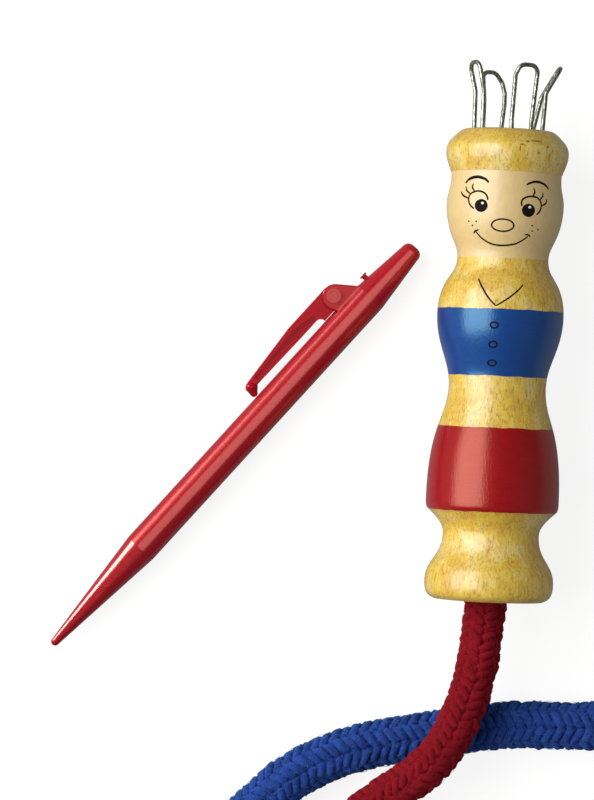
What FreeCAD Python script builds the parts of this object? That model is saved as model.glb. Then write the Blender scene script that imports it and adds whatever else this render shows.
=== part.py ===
import FreeCAD, Part
import math
import os

# A knitting dolly, which makes i-cord, lying on its back on a table, with the finished cord hanging out of
# its bore and the pointed stitch-lifting tool beside it.
# Frame: millimetres. Z is up and the table is Z = 0. The dolly's axis runs along +Y, from its base face at
# Y = 0 to the wire loops on its cap, and its painted face looks up.

Vector = FreeCAD.Vector

# ---------------------------------------------------------------- dolly body: lengths along the axis
foot_edge_length = 3.9        # base face to the widest ring of the foot
foot_length = 10.7            # widest ring of the foot to the ankle
flare_length = 5.4            # ankle to the lower edge of the skirt
skirt_edge_length = 2.6       # lower edge of the skirt to its widest ring
skirt_length = 25.0           # widest ring of the skirt to the waist
bodice_length = 16.0          # waist to the chest
shoulder_length = 12.7        # chest to the neck
face_length = 12.0            # neck to the widest ring of the head
brow_length = 7.1             # widest ring of the head to the cap's seam
cap_side_length = 4.4         # cap's seam to its widest ring
cap_crown_length = 5.2        # widest ring of the cap to its flat top

# ---------------------------------------------------------------- dolly body: radii
# The body is turned from a round blank, and the skirt's widest ring keeps the blank's surface. Each other
# ring lies this deep below it.
blank_radius = 14.85
base_face_cut = 2.6
foot_cut = 0.45
ankle_cut = 4.12
skirt_edge_cut = 0.5
waist_cut = 4.0
chest_cut = 0.73
neck_cut = 4.68
head_cut = 1.77
brow_cut = 2.55
cap_edge_cut = 2.35           # less than the brow's: the cap steps out above the painted head
cap_cut = 1.17
bore_radius = 5.8
bore_mouth_chamfer = 0.5

# Each turned curve passes through one point between its two rings: share of the way along the axis, and
# share of the change of radius.
base_round = (0.15, 0.48)     # base face to foot
foot_fall = (0.58, 0.68)
flare_rise = (0.44, 0.21)
skirt_fall = (0.63, 0.48)
bodice_rise = (0.42, 0.43)
shoulder_fall = (0.6, 0.49)
face_rise = (0.31, 0.37)
brow_fall = (0.58, 0.86)
crown_fall = (0.74, 0.44)
base_edge_lean = 0.5          # forward run of the base's edge for each unit outward
skirt_edge_lean = 0.9         # the same at the lower edge of the skirt

# ---------------------------------------------------------------- wire loops
wire_radius = 0.5
leg_straight = 0.6            # of a slanting leg above the cap, before it slants
loop_from_bore = 1.5          # edge of the bore to the circle on which the loops stand
loop_to_crown = 1.7           # that circle to the edge of the cap's flat top
loop_foot_spacing = 4.7       # between the centres of a loop's two legs
loop_height = 14.4            # middle of the wire at the top of an arch, above the cap
loop_bend_radius = 1.9
loop_depth = 7.5              # length of leg driven into the wood
loop_hole_bottom_gap = 0.4
loop_press = 0.02             # radial interference of leg and hole

# The loops are bent by hand, and no two are alike. name: angle round the axis from straight up, first leg,
# second leg, arch. Each leg is the height of its knee above the cap, and its outward lean in degrees below
# and above the knee. The arch goes from the first leg to the second: sideways in shares of half the spacing
# of the feet, and height above loop_height.
loops = {
    "wire_loop_front": (
        20.0, (1.8, 0.0, 12.0), (1.8, 0.0, 12.0), [(-1.2, -2.6), (-0.78, -0.35), (1.0, -0.35)]
    ),
    "wire_loop_right": (113.5, (8.7, 3.0, 31.0), (8.1, 12.5, 31.0), [(-1.0, 0.2), (1.0, 0.2)]),
    "wire_loop_back": (
        207.5,
        (6.2, 0.0, 10.0),
        (7.0, 0.0, 10.0),
        [(-1.35, -5.6), (-1.12, -3.2), (-0.4, -1.0), (1.0, -1.0)],
    ),
    "wire_loop_left": (290.0, (8.4, 0.0, 14.0), (8.4, 0.0, 12.5), [(-1.15, 0.2), (1.0, 0.35)]),
}

# ---------------------------------------------------------------- stitch-lifting tool
tool_tip = (-97.38, -14.93)   # where the point lies on the table
tool_angle = 50.1             # from +X, seen from above
tip_radius = 0.95
point_length = 29.6
shank_radius = 3.75
shank_length = 76.9
nose_length = 15.2
nose_radius = 2.3
nose_round = 1.6
nub_radius = 0.6
nub_head_radius = 0.9
nub_head_thickness = 0.4
nub_height = 0.85
nub_from_nose = 12.7

# clip: a sprung lever with a ball foot, on a pin through two ears of the tool
pivot_from_nose = 20.6
pivot_height = 6.25           # above the tool's axis
pin_radius = 0.75
pin_running_gap = 0.05
pin_press = 0.02
pin_head_radius = 1.65
pin_head_thickness = 0.45
pin_tail_radius = 1.25
pin_dish_radius = 1.15
pin_dish_depth = 0.25
pin_button_radius = 0.95
lever_width = 2.3
web_width = 1.3
lever_side_gap = 0.12
ear_thickness = 0.9
ear_radius = 2.95
ear_drop = 0.45               # centre of the ear's round below the pin
ear_edge = 0.35               # rounding of the ears' outer edges
ear_base_front = 6.5          # ear's foot, from the pivot towards the nose
ear_base_back = 1.7           # ear's foot, from the pivot towards the ball
ear_sink = 1.6                # depth of the ears' feet below the shank's top
arm_length = 27.8             # pivot to the ball
arm_rise = 2.6                # top of the arm above the pivot, from the pivot to the arm's bend
arm_bend_from_pivot = 12.3
arm_drop = 1.45               # fall of the arm's top from its bend to the ball
arm_depth = 3.6               # flange and web together, at the pivot and at the bend
arm_tip_depth = 1.95
arm_tip_width = 1.7
arm_edge = 0.35
flange_root = 2.2             # depth of the wide top of the arm, above its narrow web, at the hub
flange_middle = 1.2           # the same at the arm's bend
flange_tip = 0.65             # and at the ball
web_inset = 2.2               # solid end of the arm beside the web's recesses
hub_reach = 6.6               # pivot to the end of the gap under the arm
hub_lean = 1.1                # run of the gap's rounded end
hub_gap = 0.12                # hub to shank
heel_length = 3.2             # pivot to the end of the short arm
heel_drop = 0.9
heel_round = 0.6
ball_radius = 1.45
ball_below_top = 0.06         # top of the ball below the top of the arm's end
ball_foot_radius = 0.9
ball_foot_lean = 0.6          # how far the foot stands nearer the point than the ball
foot_gap = 0.1                # ball foot to shank at rest

# spring under the clip's short arm
spring_from_pivot = 2.3
spring_radius = 0.5
spring_wire_radius = 0.13
spring_turns = 2.5
pocket_gap = 0.15
pocket_depth = 0.8
spring_end_gap = 0.04

# ---------------------------------------------------------------- knitted cord
cord_radius = 5.0
cord_in_bore = 62.0

# The cord's route, which lies on the table except where it leaves the bore and crosses over itself.
# One cord is knitted in two colours: the second list goes on where the first one ends.
colour_change = (-44.56, -84.5, 5.0)
red_route = [
    (0.3, cord_in_bore, 14.5),
    (-0.2, 47.0, 14.2),
    (0.3, 33.0, 14.3),
    (-0.2, 20.0, 14.3),
    (-0.3, 5.0, 14.6),
    (-0.9, -8.0, 15.2),
    (-3.2, -21.5, 16.1),
    (-10.6, -36.2, 15.8),
    (-21.5, -46.5, 10.6),
    (-31.5, -56.0, 5.0),
    (-40.2, -69.0, 5.0),
    colour_change,
]
blue_route = [
    colour_change,
    (-49.9, -103.5, 5.0),
    (-61.0, -121.5, 5.0),
    (-82.0, -131.5, 5.0),
    (-107.5, -131.0, 5.0),
    (-130.0, -118.5, 5.0),
    (-140.5, -96.0, 5.0),
    (-134.0, -72.5, 5.0),
    (-112.5, -59.5, 5.0),
    (-86.5, -60.0, 5.0),
    (-62.0, -55.5, 5.0),
    (-43.5, -41.3, 5.0),
    (-29.0, -34.0, 5.0),
    (-11.0, -30.2, 5.0),
    (6.0, -27.8, 5.0),
    (21.0, -27.4, 5.0),
    (34.0, -25.6, 5.0),
]

# ---------------------------------------------------------------- places worked out from the sizes
foot_at = foot_edge_length
ankle_at = foot_at + foot_length
skirt_edge_at = ankle_at + flare_length
skirt_at = skirt_edge_at + skirt_edge_length
waist_at = skirt_at + skirt_length
chest_at = waist_at + bodice_length
neck_at = chest_at + shoulder_length
head_at = neck_at + face_length
seam_at = head_at + brow_length
cap_at = seam_at + cap_side_length
body_length = cap_at + cap_crown_length
axis_height = blank_radius     # the dolly lies on its widest ring
loop_circle_radius = bore_radius + loop_from_bore
cap_top_radius = loop_circle_radius + loop_to_crown

tool_length = point_length + shank_length + nose_length
pivot_at = tool_length - pivot_from_nose
arc_share = 0.45              # of the shorter run beside a bend, for the largest arc there
cut_margin = 1.0              # how far a cutting tool reaches past what it cuts
diagonal = math.sqrt(0.5)     # share of a corner's radius that its middle reaches along each side

AXIAL = Vector(0, 1, 0)
INWARD = Vector(-1, 0, 0)
OUTWARD = Vector(1, 0, 0)
UPWARD = Vector(0, 0, 1)


def smooth(points, start, end):
    """One smooth edge through points, leaving and arriving along the given directions."""
    curve = Part.BSplineCurve()
    curve.interpolate(Points=points, InitialTangent=start, FinalTangent=end)
    return curve.toShape()


def ring(radius, at):
    """A point of the body's profile: its distance from the axis and its place along the axis."""
    return Vector(radius, at, 0)


def turned(cut, at):
    """A point of the profile as deep as this below the blank's surface."""
    return ring(blank_radius - cut, at)


def between(start, end, shares):
    """A point of the profile at a share of the way along the axis, and of the change of radius."""
    along, across = shares
    return Vector(
        start.x + across * (end.x - start.x), start.y + along * (end.y - start.y), 0
    )


def bend(start, end, shares):
    """A turned curve from one ring to another, level at both, through one point in between."""
    return smooth([start, between(start, end, shares), end], AXIAL, AXIAL)


def body_profile():
    """The closed outline of half the dolly's body, from the bore to the outside."""
    base = turned(base_face_cut, 0)
    foot = turned(foot_cut, foot_at)
    ankle = turned(ankle_cut, ankle_at)
    skirt_edge = turned(skirt_edge_cut, skirt_edge_at)
    skirt = turned(0, skirt_at)
    waist = turned(waist_cut, waist_at)
    chest = turned(chest_cut, chest_at)
    neck = turned(neck_cut, neck_at)
    head = turned(head_cut, head_at)
    brow = turned(brow_cut, seam_at)
    cap_edge = turned(cap_edge_cut, seam_at)
    cap = turned(cap_cut, cap_at)
    top = ring(cap_top_radius, body_length)
    mouth = bore_radius + bore_mouth_chamfer
    straight = [
        (ring(bore_radius, bore_mouth_chamfer), ring(mouth, 0)),
        (ring(mouth, 0), base),
        (brow, cap_edge),
        (top, ring(mouth, body_length)),
        (ring(mouth, body_length), ring(bore_radius, body_length - bore_mouth_chamfer)),
        (
            ring(bore_radius, body_length - bore_mouth_chamfer),
            ring(bore_radius, bore_mouth_chamfer),
        ),
    ]
    base_slope = Vector(1, base_edge_lean, 0)
    skirt_slope = Vector(1, skirt_edge_lean, 0)
    return [
        smooth([base, between(base, foot, base_round), foot], base_slope, AXIAL),
        bend(foot, ankle, foot_fall),
        smooth([ankle, between(ankle, skirt_edge, flare_rise), skirt_edge], AXIAL, skirt_slope),
        smooth([skirt_edge, skirt], skirt_slope, AXIAL),
        bend(skirt, waist, skirt_fall),
        bend(waist, chest, bodice_rise),
        bend(chest, neck, shoulder_fall),
        bend(neck, head, face_rise),
        bend(head, brow, brow_fall),
        smooth([cap_edge, cap], cap - cap_edge, AXIAL),
        smooth([cap, between(cap, top, crown_fall), top], AXIAL, INWARD),
    ] + [Part.makeLine(a, b) for a, b in straight]


def loop_frame(angle):
    """The outward and sideways directions of a loop that stands at this angle round the bore."""
    turn = math.radians(angle)
    outward = Vector(math.sin(turn), 0, math.cos(turn))
    sideways = Vector(math.cos(turn), 0, -math.sin(turn))
    return outward, sideways


def loop_feet(angle):
    """The places on the cap's top where a loop's two legs enter it."""
    outward, sideways = loop_frame(angle)
    centre = Vector(0, body_length, axis_height) + outward * loop_circle_radius
    half = sideways * (loop_foot_spacing / 2)
    return centre - half, centre + half


def doll_body():
    """The turned wooden body, with its bore and the pilot holes for the wire loops."""
    wire = Part.Wire(Part.__sortEdges__(body_profile()))
    body = Part.Face(wire).revolve(Vector(0, 0, 0), AXIAL, 360)
    body.translate(Vector(0, 0, axis_height))
    depth = loop_depth + loop_hole_bottom_gap
    for angle, *_ in loops.values():
        for foot in loop_feet(angle):
            body = body.cut(
                Part.makeCylinder(wire_radius - loop_press, depth, foot, -AXIAL)
            )
    return body


def rounded_path(points, radii):
    """A wire of straight runs joined by tangent arcs, one radius for each inner point."""
    edges = []
    start = points[0]
    for before, point, after, radius in zip(points, points[1:], points[2:], radii):
        back = (before - point).normalize()
        ahead = (after - point).normalize()
        half = (math.pi - back.getAngle(ahead)) / 2
        reach = radius * math.tan(half)
        arc_start = point + back * reach
        arc_end = point + ahead * reach
        inside = (back + ahead).normalize()
        middle = point + inside * (radius / math.cos(half) - radius)
        edges.append(Part.LineSegment(start, arc_start).toShape())
        edges.append(Part.Arc(arc_start, middle, arc_end).toShape())
        start = arc_end
    edges.append(Part.LineSegment(start, points[-1]).toShape())
    return Part.Wire(edges)


def tube(path, radius):
    """A round bar swept along a path."""
    first = path.Edges[0]
    along = first.tangentAt(first.FirstParameter)
    section = Part.Wire(Part.makeCircle(radius, first.Vertexes[0].Point, along))
    return path.makePipeShell([section], True, False)


def leaned(leg, height):
    """How far outward a loop's leg, or the arch above it, stands from its foot at this height."""
    knee, low_lean, high_lean = leg
    below = min(height, knee) * math.tan(math.radians(low_lean))
    above = max(height - knee, 0) * math.tan(math.radians(high_lean))
    return below + above


def wire_loop(angle, first_leg, second_leg, arch):
    """One U of wire: two legs in the cap, a knee in each, and a hand-bent arch above."""
    outward, sideways = loop_frame(angle)
    feet = loop_feet(angle)
    half = loop_foot_spacing / 2
    middle = (feet[0] + feet[1]) * 0.5

    def bent(leg, across, height):
        return middle + sideways * across + AXIAL * height + outward * leaned(leg, height)

    legs = []
    for leg, foot, side, (share, rise) in zip(
        (first_leg, second_leg), feet, (-1, 1), (arch[0], arch[-1])
    ):
        knee, low_lean, _ = leg
        slant = (share - side) * knee / (loop_height + rise)
        points = [foot - AXIAL * loop_depth]
        if slant != 0 or low_lean != 0:
            points.append(foot + AXIAL * leg_straight)
        points.append(bent(leg, (side + slant) * half, knee))
        legs.append(points)
    tops = []
    for index, (share, rise) in enumerate(arch):
        leg = first_leg if index < len(arch) / 2 else second_leg
        tops.append(bent(leg, share * half, loop_height + rise))
    path = legs[0] + tops + legs[1][::-1]
    radii = [min(loop_bend_radius, radius) for radius in widest_radii(path)]
    return tube(rounded_path(path, radii), wire_radius)


def widest_radii(points):
    """The arc at each inner point, as large as the two runs beside it allow."""
    radii = []
    for before, point, after in zip(points, points[1:], points[2:]):
        back = before - point
        ahead = after - point
        turn = math.pi - back.getAngle(ahead)
        shorter = min(back.Length, ahead.Length)
        radii.append(arc_share * shorter / math.tan(turn / 2))
    return radii


def cord(name, route):
    """A plain tube along the cord's route."""
    points = [Vector(*place) for place in route]
    radii = widest_radii(points)
    path = rounded_path(points, radii)
    solid = tube(path, cord_radius)
    section = math.pi * cord_radius**2
    print(name, "length", round(path.Length, 1), "smallest radius", round(min(radii), 1))
    print(name, "volume over section times length", round(solid.Volume / section / path.Length, 4))
    return solid


def beside(solid):
    """Lays a piece of the tool on the table: modelled with the tool's point at the origin, its axis along
    +X and its clip towards +Y."""
    solid.translate(Vector(0, 0, shank_radius))
    solid.rotate(Vector(0, 0, 0), UPWARD, tool_angle)
    solid.translate(Vector(tool_tip[0], tool_tip[1], 0))
    return solid


def plate(outline, bottom, top):
    """A plate of the given outline, which has points and arcs, between two heights."""
    face = Part.Face(Part.Wire(Part.__sortEdges__(outline)))
    face.translate(Vector(0, 0, bottom))
    return face.extrude(Vector(0, 0, top - bottom))


def lines(points):
    """Straight edges from each point to the next."""
    return [Part.makeLine(a, b) for a, b in zip(points, points[1:])]


def tangent_point(centre, radius, outside, side):
    """Where a straight line from a point outside a circle touches it, on the given side."""
    span = outside - centre
    spread = math.acos(radius / span.Length) * side
    angle = math.atan2(span.y, span.x) + spread
    return centre + Vector(radius * math.cos(angle), radius * math.sin(angle), 0)


def pivot():
    """The clip's pivot, in the plane through the tool's axis."""
    return Vector(pivot_at, pivot_height, 0)


def shank():
    """The round body of the tool: its point, its shank and its tapered nose."""
    shoulder = Vector(point_length, shank_radius, 0)
    tip_side = Vector(tip_radius, tip_radius, 0)
    nose_start = Vector(point_length + shank_length, shank_radius, 0)
    nose_end = Vector(tool_length - nose_round, nose_radius, 0)
    corner = nose_round * (1 - diagonal)
    round_middle = Vector(tool_length - corner, nose_radius - corner, 0)
    round_end = Vector(tool_length, nose_radius - nose_round, 0)
    tip_corner = tip_radius * diagonal
    outline = [
        Part.Arc(
            Vector(0, 0, 0), Vector(tip_radius - tip_corner, tip_corner, 0), tip_side
        ).toShape(),
        Part.makeLine(tip_side, shoulder),
        Part.makeLine(shoulder, nose_start),
        Part.makeLine(nose_start, nose_end),
        Part.Arc(nose_end, round_middle, round_end).toShape(),
        Part.makeLine(round_end, Vector(tool_length, 0, 0)),
        Part.makeLine(Vector(tool_length, 0, 0), Vector(0, 0, 0)),
    ]
    face = Part.Face(Part.Wire(Part.__sortEdges__(outline)))
    return face.revolve(Vector(0, 0, 0), OUTWARD, 360)


def ear(side):
    """One ear of the clip's bracket, above or below the lever: a round plate with a brace towards the
    nose, and rounded outer edges."""
    centre = pivot() - Vector(0, ear_drop, 0)
    foot_height = shank_radius - ear_sink
    front = Vector(pivot_at + ear_base_front, foot_height, 0)
    back = Vector(pivot_at - ear_base_back, foot_height, 0)
    front_touch = tangent_point(centre, ear_radius, front, 1)
    back_touch = tangent_point(centre, ear_radius, back, -1)
    crown = centre + Vector(0, ear_radius, 0)
    outline = lines([back_touch, back, front, front_touch])
    outline.append(Part.Arc(front_touch, crown, back_touch).toShape())
    inner = lever_width / 2 + lever_side_gap
    solid = plate(outline, inner, inner + ear_thickness)
    outer = [e for e in solid.Edges if e.BoundBox.ZMin > inner + ear_thickness / 2]
    solid = solid.makeFillet(ear_edge, outer)
    return solid if side > 0 else solid.mirror(Vector(0, 0, 0), UPWARD)


def nub():
    """The small headed nub on the nose, beyond the clip."""
    at = tool_length - nub_from_nose
    root = Vector(at, shank_radius / 2, 0)
    stem = Part.makeCylinder(nub_radius, nub_height + shank_radius / 2, root, AXIAL)
    head_at = Vector(at, shank_radius + nub_height - nub_head_thickness, 0)
    head = Part.makeCylinder(nub_head_radius, nub_head_thickness, head_at, AXIAL)
    return stem.fuse(head)


def tool_body():
    """The tool without its clip: one moulding with the two ears and a small nub near the nose."""
    body = shank().fuse([ear(-1), ear(1), nub()])
    reach = lever_width / 2 + lever_side_gap + ear_thickness + cut_margin
    below = pivot() - Vector(0, 0, reach)
    hole = Part.makeCylinder(pin_radius - pin_press, 2 * reach, below, UPWARD)
    pocket_top = Vector(pivot_at + spring_from_pivot, shank_radius + cut_margin, 0)
    pocket_radius = spring_radius + spring_wire_radius + pocket_gap
    pocket = Part.makeCylinder(pocket_radius, pocket_depth + cut_margin, pocket_top, -AXIAL)
    return body.cut(hole).cut(pocket).removeSplitter()


def rounded_section(at, top, depth, width, corner):
    """A rectangle with rounded corners across the lever, at a place along it."""
    low = top - depth
    half = width / 2
    slack = corner * (1 - diagonal)
    corners = [(top, half, -1, -1), (top, -half, -1, 1), (low, -half, 1, 1), (low, half, 1, -1)]
    edges = []
    ends = []
    for index, (height, side, down, across) in enumerate(corners):
        on_side = Vector(at, height + down * corner, side)
        on_top = Vector(at, height, side + across * corner)
        middle = Vector(at, height + down * slack, side + across * slack)
        first, last = (on_side, on_top) if index % 2 == 0 else (on_top, on_side)
        edges.append(Part.Arc(first, middle, last).toShape())
        ends.append((first, last))
    for (_, last), (first, _) in zip(ends, ends[1:] + ends[:1]):
        edges.append(Part.makeLine(last, first))
    return Part.Wire(Part.__sortEdges__(edges))


def arm_top(at):
    """Height of the top of the clip's arm above the tool's axis, at a place along the tool."""
    past_bend = max(0, pivot_at - arm_bend_from_pivot - at)
    slope = arm_drop / (arm_length - arm_bend_from_pivot)
    return pivot_height + arm_rise - slope * past_bend


def arm():
    """The clip's arm, which tapers from its bend to the ball, with a recess along each side."""
    ball_at = pivot_at - arm_length
    bend_at = pivot_at - arm_bend_from_pivot
    tip = rounded_section(ball_at, arm_top(ball_at), arm_tip_depth, arm_tip_width, arm_edge)
    middle = rounded_section(bend_at, arm_top(bend_at), arm_depth, lever_width, arm_edge)
    root = rounded_section(pivot_at, arm_top(pivot_at), arm_depth, lever_width, arm_edge)
    solid = Part.makeLoft([tip, middle, root], True, True)
    start = ball_at + web_inset
    end = pivot_at - hub_reach
    outline = [
        Vector(start, arm_top(start) - flange_tip, 0),
        Vector(bend_at, arm_top(bend_at) - flange_middle, 0),
        Vector(end, arm_top(end) - flange_root, 0),
        Vector(end, 0, 0),
        Vector(start, 0, 0),
    ]
    edges = lines(outline + outline[:1])
    for side in (-1, 1):
        near = side * web_width / 2
        far = side * lever_width
        solid = solid.cut(plate(edges, min(near, far), max(near, far)))
    return solid


def heel_end():
    """Centre of the rounded end of the clip's short arm."""
    return pivot() + Vector(heel_length - heel_round, -heel_drop, 0)


def hub_underside():
    """Height of the hub's underside above the tool's axis."""
    return shank_radius + hub_gap


def hub():
    """The clip's deep hub, which closes the gap under the arm and carries the short arm over the spring."""
    end = heel_end()
    top = pivot() + Vector(0, arm_rise, 0)
    low = Vector(pivot_at, hub_underside(), 0)
    back_at = pivot_at - hub_reach
    back_top = Vector(back_at, arm_top(back_at) - arm_edge, 0)
    back = Vector(back_at, arm_top(back_at) - arm_depth, 0)
    back_low = Vector(back_at + hub_lean, hub_underside(), 0)
    corner = Vector(back_low.x, back.y, 0)
    round_back = corner + (back + back_low - corner * 2) * (1 - diagonal)
    end_top = tangent_point(end, heel_round, top, 1)
    end_low = end + Vector(0, -heel_round, 0)
    end_far = end + Vector(heel_round, 0, 0)
    outline = lines([back, back_top, top, end_top])
    outline.append(Part.Arc(end_top, end_far, end_low).toShape())
    outline += lines([end_low, low, back_low])
    outline.append(Part.Arc(back_low, round_back, back).toShape())
    half = lever_width / 2
    return plate(outline, -half, half)


def ball_foot():
    """The clip's ball with the smaller round foot below it: one turned form about a leaning axis."""
    ball_at = pivot_at - arm_length
    ball = Vector(ball_at, arm_top(ball_at) - ball_below_top - ball_radius, 0)
    foot = Vector(ball_at - ball_foot_lean, shank_radius + foot_gap + ball_foot_radius, 0)
    axis = (ball - foot).normalize()
    across = Vector(axis.y, -axis.x, 0)
    outline = [
        Part.Arc(
            foot - axis * ball_foot_radius,
            foot + (across - axis) * (ball_foot_radius * diagonal),
            foot + across * ball_foot_radius,
        ).toShape(),
        Part.makeLine(foot + across * ball_foot_radius, ball + across * ball_radius),
        Part.Arc(
            ball + across * ball_radius,
            ball + (across + axis) * (ball_radius * diagonal),
            ball + axis * ball_radius,
        ).toShape(),
        Part.makeLine(ball + axis * ball_radius, foot - axis * ball_foot_radius),
    ]
    face = Part.Face(Part.Wire(Part.__sortEdges__(outline)))
    return face.revolve(foot, axis, 360)


def tool_clip():
    """The clip: an arm with a ball foot, a hub on the pin and a short arm over the spring."""
    clip = arm().fuse(hub()).fuse(ball_foot())
    reach = lever_width / 2 + cut_margin
    below = pivot() - Vector(0, 0, reach)
    bore = Part.makeCylinder(pin_radius + pin_running_gap, 2 * reach, below, UPWARD)
    return clip.cut(bore).removeSplitter()


def clip_pin():
    """The pin through the ears and the lever's hub, with a dished head above and a flat tail below."""
    centre = pivot()
    outer = lever_width / 2 + lever_side_gap + ear_thickness
    top = centre + UPWARD * outer
    low = centre - UPWARD * outer
    shaft = Part.makeCylinder(pin_radius, 2 * outer, low, UPWARD)
    head = Part.makeCylinder(pin_head_radius, pin_head_thickness, top, UPWARD)
    tail = Part.makeCylinder(pin_tail_radius, pin_head_thickness, low, -UPWARD)
    dish_at = top + UPWARD * (pin_head_thickness - pin_dish_depth)
    dish = Part.makeCylinder(pin_dish_radius, pin_dish_depth, dish_at, UPWARD)
    button = Part.makeCylinder(pin_button_radius, pin_dish_depth, dish_at, UPWARD)
    return shaft.fuse([head, tail]).cut(dish.cut(button)).removeSplitter()


def clip_spring():
    """The small coil spring under the clip's short arm, in its pocket in the shank."""
    bottom = shank_radius - pocket_depth + spring_end_gap
    low = heel_height() - spring_end_gap
    height = low - bottom - 2 * spring_wire_radius
    helix = Part.makeHelix(height / spring_turns, height, spring_radius)
    edge = helix.Edges[0]
    start = edge.valueAt(edge.FirstParameter)
    along = edge.tangentAt(edge.FirstParameter)
    section = Part.Wire(Part.makeCircle(spring_wire_radius, start, along))
    coil = Part.Wire(helix.Edges).makePipeShell([section], True, True)
    coil.rotate(Vector(0, 0, 0), OUTWARD, -90)
    coil.translate(Vector(pivot_at + spring_from_pivot, bottom + spring_wire_radius, 0))
    return coil


def heel_height():
    """Height above the tool's axis of the short arm's slanted underside, at the spring's nearer side."""
    low = Vector(pivot_at, hub_underside(), 0)
    end = heel_end() - Vector(0, heel_round, 0)
    near_side = spring_from_pivot - spring_radius - spring_wire_radius
    return low.y + (end.y - low.y) * near_side / (end.x - low.x)


def save(name, solid):
    """Writes one piece as a STEP file and prints what it holds."""
    solid.exportStep(os.path.join("parts", name + ".step"))
    print(name, "solids", len(solid.Solids), "valid", solid.isValid(), "mm3", round(solid.Volume, 1))


os.makedirs("parts", exist_ok=True)
save("doll_body", doll_body())
for loop_name, loop_sizes in loops.items():
    save(loop_name, wire_loop(*loop_sizes))
save("i_cord_red", cord("i_cord_red", red_route))
save("i_cord_blue", cord("i_cord_blue", blue_route))
save("tool_body", beside(tool_body()))
save("tool_clip", beside(tool_clip()))
save("clip_pin", beside(clip_pin()))
save("clip_spring", beside(clip_spring()))
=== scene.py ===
import math

import bpy
import numpy as np
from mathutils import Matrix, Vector
from mathutils.bvhtree import BVHTree


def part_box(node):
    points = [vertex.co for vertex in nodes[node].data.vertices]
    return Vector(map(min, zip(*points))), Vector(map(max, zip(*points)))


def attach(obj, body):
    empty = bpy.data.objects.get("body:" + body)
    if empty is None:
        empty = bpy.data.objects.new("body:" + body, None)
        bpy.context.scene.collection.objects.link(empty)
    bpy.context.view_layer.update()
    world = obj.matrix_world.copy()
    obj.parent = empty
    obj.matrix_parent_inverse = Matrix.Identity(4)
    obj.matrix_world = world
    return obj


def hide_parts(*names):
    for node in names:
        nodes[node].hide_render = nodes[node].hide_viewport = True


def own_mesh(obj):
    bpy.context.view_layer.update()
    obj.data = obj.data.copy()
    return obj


# The finish of a knitting dolly with its cord and its lifting tool. Metres, in the frame of the CAD model:
# the table is Z = 0, the dolly lies along +Y from its base face at Y = 0, and its painted face looks up.
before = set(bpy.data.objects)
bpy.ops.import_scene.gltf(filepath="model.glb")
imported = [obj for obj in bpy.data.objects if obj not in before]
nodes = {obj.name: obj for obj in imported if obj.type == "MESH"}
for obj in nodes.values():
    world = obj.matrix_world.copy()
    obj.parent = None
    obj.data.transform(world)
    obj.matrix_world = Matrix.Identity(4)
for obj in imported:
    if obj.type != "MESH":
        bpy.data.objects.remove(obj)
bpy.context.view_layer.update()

MM = 0.001
UP = Vector((0, 0, 1))

# The height of the dolly's axis above the table, from the frame.
body_low, body_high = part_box("doll_body")
AXIS_HEIGHT = (body_low.z + body_high.z) / 2

# Places along the dolly, from its base face, where each paint starts and ends.
RED_START = 19.95 * MM
RED_END = 38.6 * MM
BLUE_START = 50.0 * MM
BLUE_END = 64.8 * MM
FACE_START = 76.2 * MM
FACE_END = 95.4 * MM


# ================================================================ camera, floor and light
CAMERA_AIM = Vector((-44.55, 42.76, 14.85)) * MM
CAMERA_HEIGHT = 900 * MM       # above the dolly's axis
CAMERA_ROLL = 2.52             # degrees; the dolly leans this far to the right in the picture
CAMERA_LENS = 181.3            # for a 36 mm sensor
CAMERA_REACH = 20              # how far it sees, in metres


def set_camera():
    """A camera that looks straight down on the row."""
    data = bpy.data.cameras.new("camera")
    data.lens = CAMERA_LENS
    data.clip_end = CAMERA_REACH
    camera = bpy.data.objects.new("camera", data)
    camera.location = CAMERA_AIM + UP * CAMERA_HEIGHT
    camera.rotation_euler = (0, 0, math.radians(CAMERA_ROLL))
    bpy.context.scene.collection.objects.link(camera)
    bpy.context.scene.camera = camera


LIGHT_CENTRE = Vector((0, 0.05, 0.015))
# Each lamp has its place and its aim from LIGHT_CENTRE, its width and its length in metres, its turn in
# degrees, its radiance and its colour.
LIGHTS = {
    "key": ((-1.00, 0.33, 0.95), (0, 0.33, 0), 1.60, 1.40, 0, 4.1, (1.0, 0.985, 0.96)),
    "side": ((-1.20, -0.10, 0.35), (0, 0, 0), 1.20, 0.60, 0, 1.5, (1.0, 0.99, 0.97)),
    "fill": ((0.90, -0.20, 0.60), (0, 0, 0), 0.90, 0.90, 0, 0.80, (0.97, 0.98, 1.0)),
}
# The tool has lamps of its own, which give its highlights.
TOOL_LIGHTS = {
    "tool_key": ((0.03, 0.12, 1.0), (0.03, 0.12, 0), 1.02, 0.72, 140, 3.3, (1.0, 0.985, 0.96)),
    "tool_strip": ((-0.93, 0.78, 0.36), (0, 0, 0), 0.25, 0.25, 0, 5.0, (1.0, 0.98, 0.98)),
    "tool_window": ((-1.10, 0.46, 0.36), (-0.08, -0.05, 0), 0.26, 0.60, 0, 38.0, (1.0, 1.0, 1.0)),
}
DULL_LIGHTS = ("side", "fill")        # too soft to be seen in a glossy surface
TOOL_NODES = ("tool_body", "tool_clip", "clip_pin", "clip_spring")
WORLD_LIGHT = 0.13


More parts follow.
